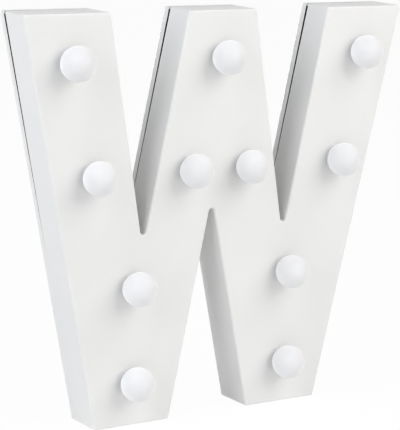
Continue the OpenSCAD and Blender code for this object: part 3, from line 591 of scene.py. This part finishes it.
def coil(node, up):
    """Conical spring in its node's place: a ring of wire drawn round and inwards from the plate."""
    low, high = (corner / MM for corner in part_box(node))
    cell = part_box("cell_1" if up else "cell_2")
    axis = (cell[0] + cell[1]) / 2 / MM
    way = 1 if up else -1
    plate_z = (low.z if up else high.z) + way * spring_wire / 2
    rise = way * (high.z - low.z - spring_wire)
    steps = spring_turns * spring_steps
    turn = 2 * pi / spring_steps
    draw_in = (spring_wide - spring_narrow) / 2 / steps
    bm = bmesh.new()
    edges = ring(bm, axis.x + spring_wide / 2, axis.y, plate_z, spring_wire / 2, wire_sides)
    bmesh.ops.contextual_create(bm, geom=edges)
    for step in range(1, steps + 1):
        edges = pull(bm, edges, (0, 0, rise / steps))
        verts = list({v for e in edges for v in e.verts})
        bmesh.ops.rotate(bm, verts=verts, cent=axis, matrix=Matrix.Rotation(turn, 3, "Z"))
        inwards = -Vector((cos(turn * step), sin(turn * step), 0))
        bmesh.ops.translate(bm, verts=verts, vec=inwards * draw_in)
    bmesh.ops.contextual_create(bm, geom=edges)
    return bm


for name, up in (("spring_negative", True), ("spring_bridge", False)):
    part = name.replace("spring", "coil")
    finish_piece(coil(name, up), part, [spring_steel], "letter", [name])

# Cells: two AA cells side by side in the well, one up and one down.
# A drawn steel can in a plain printed sleeve, folded over both rims, with a pressed button at one end.
button_r = 2.75
button_h = 1
fold_r = 6.1
fold_t = 0.25
rim_r = 0.4
cell_sides = 64
cell_sharp = 30
slate = ((0.1, 0.125, 0.155), (0.125, 0.15, 0.18))
band = (0.62, 0.63, 0.62)
band_from = 0.8


def sleeve(name, flat_z, button_z):
    """Shrunk plastic sleeve: dark slate with a pale band at the button's end."""
    material, nodes, links, shader, place = new_material(name)
    film = two_tone(nodes, links, noise(nodes, links, place, size_mm=4), *slate)
    height = nodes.new("ShaderNodeSeparateXYZ")
    along = nodes.new("ShaderNodeMapRange")
    along.inputs["From Min"].default_value = flat_z * MM
    along.inputs["From Max"].default_value = button_z * MM
    past = nodes.new("ShaderNodeMath")
    past.operation = "GREATER_THAN"
    past.inputs[1].default_value = band_from
    colour = nodes.new("ShaderNodeMix")
    colour.data_type = "RGBA"
    colour.inputs["B"].default_value = (*band, 1)
    links.new(place, height.inputs["Vector"])
    links.new(height.outputs["Z"], along.inputs["Value"])
    links.new(along.outputs["Result"], past.inputs[0])
    links.new(past.outputs["Value"], colour.inputs["Factor"])
    links.new(film, colour.inputs["A"])
    links.new(colour.outputs["Result"], shader.inputs["Base Color"])
    creases = noise(nodes, links, place, size_mm=0.6, stretch=(1, 1, 6))
    grain(nodes, links, shader, creases, rough=0.3, spread=0.06, depth_mm=0.002, strength=0.3)
    return material


for name, button_up in (("cell_1", True), ("cell_2", False)):
    low, high = (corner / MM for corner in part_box(name))
    axis = (low + high) / 2
    can_r = (high.x - low.x) / 2
    flat_z, button_z = (low.z, high.z) if button_up else (high.z, low.z)
    way = 1 if button_up else -1
    length = high.z - low.z
    shoulder = length - button_h
    profile = [
        (fold_r - fold_t, 0), (fold_r - fold_t / 2, fold_t), (fold_r, fold_t),
        (fold_r + fold_t / 2, fold_t / 4), (can_r - rim_r, fold_t / 4),
        (can_r - rim_r / 3, rim_r / 3), (can_r, rim_r),
        (can_r, shoulder - rim_r), (can_r - rim_r / 3, shoulder - rim_r / 3), (can_r - rim_r, shoulder),
        (fold_r + fold_t / 2, shoulder), (fold_r, shoulder - fold_t), (button_r + fold_t, shoulder - fold_t),
        (button_r, shoulder), (button_r, length - fold_t), (button_r - fold_t, length), (0, length),
    ]
    bm = bmesh.new()
    start = bm.verts.new((axis.x, axis.y, flat_z))
    trace(bm, start, [(axis.x + radius, axis.y, flat_z + way * rise) for radius, rise in profile])
    revolve(bm, axis, (0, 0, 1), cell_sides)
    for face in bm.faces:
        centre = face.calc_center_median()
        if (centre.xy - axis.xy).length < fold_r:
            face.material_index = 1
    film = sleeve(name.replace("cell", "sleeve"), flat_z, button_z)
    part = name.replace("cell", "battery")
    finish_piece(bm, part, [film, nickel_plate], "letter", [name], cell_sharp)

# Battery door: a white ABS flap with two hooks that turn at its top edge and a sprung latch at its foot.
# Grip grooves above the finger scoop are cut in the mould.
door_edge_r = 0.2

bm = softened("battery_door", door_edge_r)
finish_piece(bm, "battery_flap", [white_abs], "door", ["battery_door"])

# Screws: eight self-tapping screws of zinc-plated steel with rolled threads, domed heads and cross recesses.
# They sit sunk in the cover's wells and hold in the shell's bosses.
screw_r = 1.3
thread_root = 1.02
thread_pitch = 0.9
thread_n = 8
thread_form = ((screw_r, 0.25), (thread_root, 0.6), (thread_root, 0.9))
screw_tip = 1.2
head_r = 2.5
head_side = 0.7
head_round = 1
head_turn = radians(72)
head_steps = 5
cross_half = 1.45
cross_w = 0.4
cross_deep = 0.9
cross_taper = 0.62
screw_sides = 40
screw_turn = radians(37)

screws_low, screws_high = (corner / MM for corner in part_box("cover_screws"))
head_top = head_side + head_round * sin(head_turn)
seat_y = screws_high.y - head_top
shank = seat_y - screws_low.y
thread = [
    (radius, -shank + screw_tip + (k + rise) * thread_pitch)
    for k in range(thread_n) for radius, rise in thread_form
]
bm = bmesh.new()
for i, (x, z) in enumerate(boss_places):
    one = bmesh.new()
    seat = Vector((x, seat_y, z))
    profile = [(thread_root, -shank + screw_tip), *thread]
    profile += [(thread_root, 0), (head_r, 0), (head_r, head_side)]
    tip = one.verts.new(seat + Vector((0, -shank, 0)))
    brow = trace(one, tip, [seat + Vector((radius, depth, 0)) for radius, depth in profile])
    round_centre = seat + Vector((head_r - head_round, head_side, 0))
    bmesh.ops.spin(one, geom=[brow], cent=round_centre, axis=(0, 0, 1), angle=head_turn, steps=head_steps)
    revolve(one, seat, (0, 1, 0), screw_sides)
    crown = [e for e in one.edges if e.is_boundary]
    turned = Matrix.Rotation(screw_turn * i, 3, "Y")
    corners = []
    for quarter in range(4):
        spoke = turned @ Matrix.Rotation(quarter * pi / 2, 3, "Y")
        for across, out in ((-cross_w, cross_half), (cross_w, cross_half), (cross_w, cross_w)):
            corner = seat + Vector((0, head_top, 0)) + spoke @ Vector((across, 0, out))
            corners.append(one.verts.new(corner))
    cross = [one.edges.new((corners[k - 1], corner)) for k, corner in enumerate(corners)]
    bmesh.ops.triangle_fill(one, use_beauty=True, edges=crown + cross, normal=(0, 1, 0))
    floor_edges = pull(one, cross, (0, -cross_deep, 0))
    floor_verts = list({v for e in floor_edges for v in e.verts})
    bmesh.ops.scale(
        one, vec=(cross_taper, 1, cross_taper), verts=floor_verts, space=Matrix.Translation(-seat),
    )
    bmesh.ops.contextual_create(one, geom=floor_edges)
    done = bpy.data.meshes.new("screw")
    one.to_mesh(done)
    one.free()
    bm.from_mesh(done)
    bpy.data.meshes.remove(done)
finish_piece(bm, "screws", [zinc_steel], "letter", ["cover_screws"])

# Floor: a plain pale sheet that stays white to the camera and keeps the letter's soft shadow.
# It throws the lamps' light back up, with a little of its own white.
floor_half = 8
floor_shadow_share = 0.04
floor_light_share = 0.26
paper_white = (0.96, 0.96, 0.96, 1)


def seen_rays(nodes, links):
    """1 for what the camera sees straight, in a reflection or through something clear, and 0 for light."""
    rays = nodes.new("ShaderNodeLightPath")
    seen = rays.outputs["Is Camera Ray"]
    for kind in ("Is Glossy Ray", "Is Transmission Ray"):
        both = nodes.new("ShaderNodeMath")
        both.operation = "MAXIMUM"
        links.new(seen, both.inputs[0])
        links.new(rays.outputs[kind], both.inputs[1])
        seen = both.outputs["Value"]
    return seen


bm = bmesh.new()
bmesh.ops.create_grid(bm, x_segments=1, y_segments=1, size=floor_half)
mesh = bpy.data.meshes.new("floor")
bm.to_mesh(mesh)
bm.free()
floor = bpy.data.objects.new("floor", mesh)
scene.collection.objects.link(floor)
material = bpy.data.materials.new("pale_floor")
material.use_nodes = True
nodes = material.node_tree.nodes
links = material.node_tree.links
paper = nodes["Principled BSDF"]
paper.inputs["Base Color"].default_value = paper_white
paper.inputs["Roughness"].default_value = 1
glow = nodes.new("ShaderNodeEmission")
mixed = nodes.new("ShaderNodeMixShader")
share = nodes.new("ShaderNodeMapRange")
share.inputs["To Min"].default_value = floor_light_share
share.inputs["To Max"].default_value = 1 - floor_shadow_share
links.new(seen_rays(nodes, links), share.inputs["Value"])
links.new(share.outputs["Result"], mixed.inputs["Fac"])
links.new(paper.outputs["BSDF"], mixed.inputs[1])
links.new(glow.outputs["Emission"], mixed.inputs[2])
links.new(mixed.outputs["Shader"], nodes["Material Output"].inputs["Surface"])
mesh.materials.append(material)

# Light: soft boxes, a wide warm one up on the right, a weak one in front, and two cool ones on the left
# and above. A small one behind lights the rear pieces only, so the joint stays shaded.
# The room itself is white to the camera and gives no light.
warm = (1, 0.99, 0.975)
cool = (0.95, 0.965, 1)
rear_pieces = [
    "rear_cover", "battery_flap", "screws", "switch_housing", "switch_knob", "battery_1", "battery_2",
    "plate_negative", "plate_positive", "plate_bridge", "coil_negative", "coil_bridge",
]


def soft_box(name, direction, distance, size, power, colour):
    """Square area lamp that looks at the middle of the letter."""
    lamp = bpy.data.lights.new(name, "AREA")
    lamp.size = size
    lamp.energy = power
    lamp.color = colour
    box = bpy.data.objects.new(name, lamp)
    aim = Vector((0, 0, letter_h / 2 * MM))
    towards = Vector(direction).normalized()
    box.location = aim + towards * distance
    box.rotation_euler = towards.to_track_quat("Z", "Y").to_euler()
    scene.collection.objects.link(box)
    return box


soft_box("key_box", (0.7, -1, 0.9), distance=1.6, size=1.6, power=21.7, colour=warm)
soft_box("front_box", (0, -1, 0.05), distance=1.8, size=0.6, power=2.8, colour=warm)
soft_box("left_box", (-1, -0.15, 0.45), distance=1.8, size=1.6, power=21, colour=cool)
soft_box("top_box", (-0.8, -0.1, 1.2), distance=1.8, size=1, power=7, colour=cool)
back_box = soft_box("back_box", (0.2, 1, 0.04), distance=1.8, size=0.5, power=18, colour=warm)
rear = bpy.data.collections.new("rear")
for name in rear_pieces:
    rear.objects.link(bpy.data.objects[name])
back_box.light_linking.receiver_collection = rear

world = bpy.data.worlds.new("white_room")
scene.world = world
world.use_nodes = True
nodes = world.node_tree.nodes
links = world.node_tree.links
room = nodes["Background"]
room.inputs["Color"].default_value = (1, 1, 1, 1)
links.new(seen_rays(nodes, links), room.inputs["Strength"])

scene.view_settings.view_transform = "Standard"
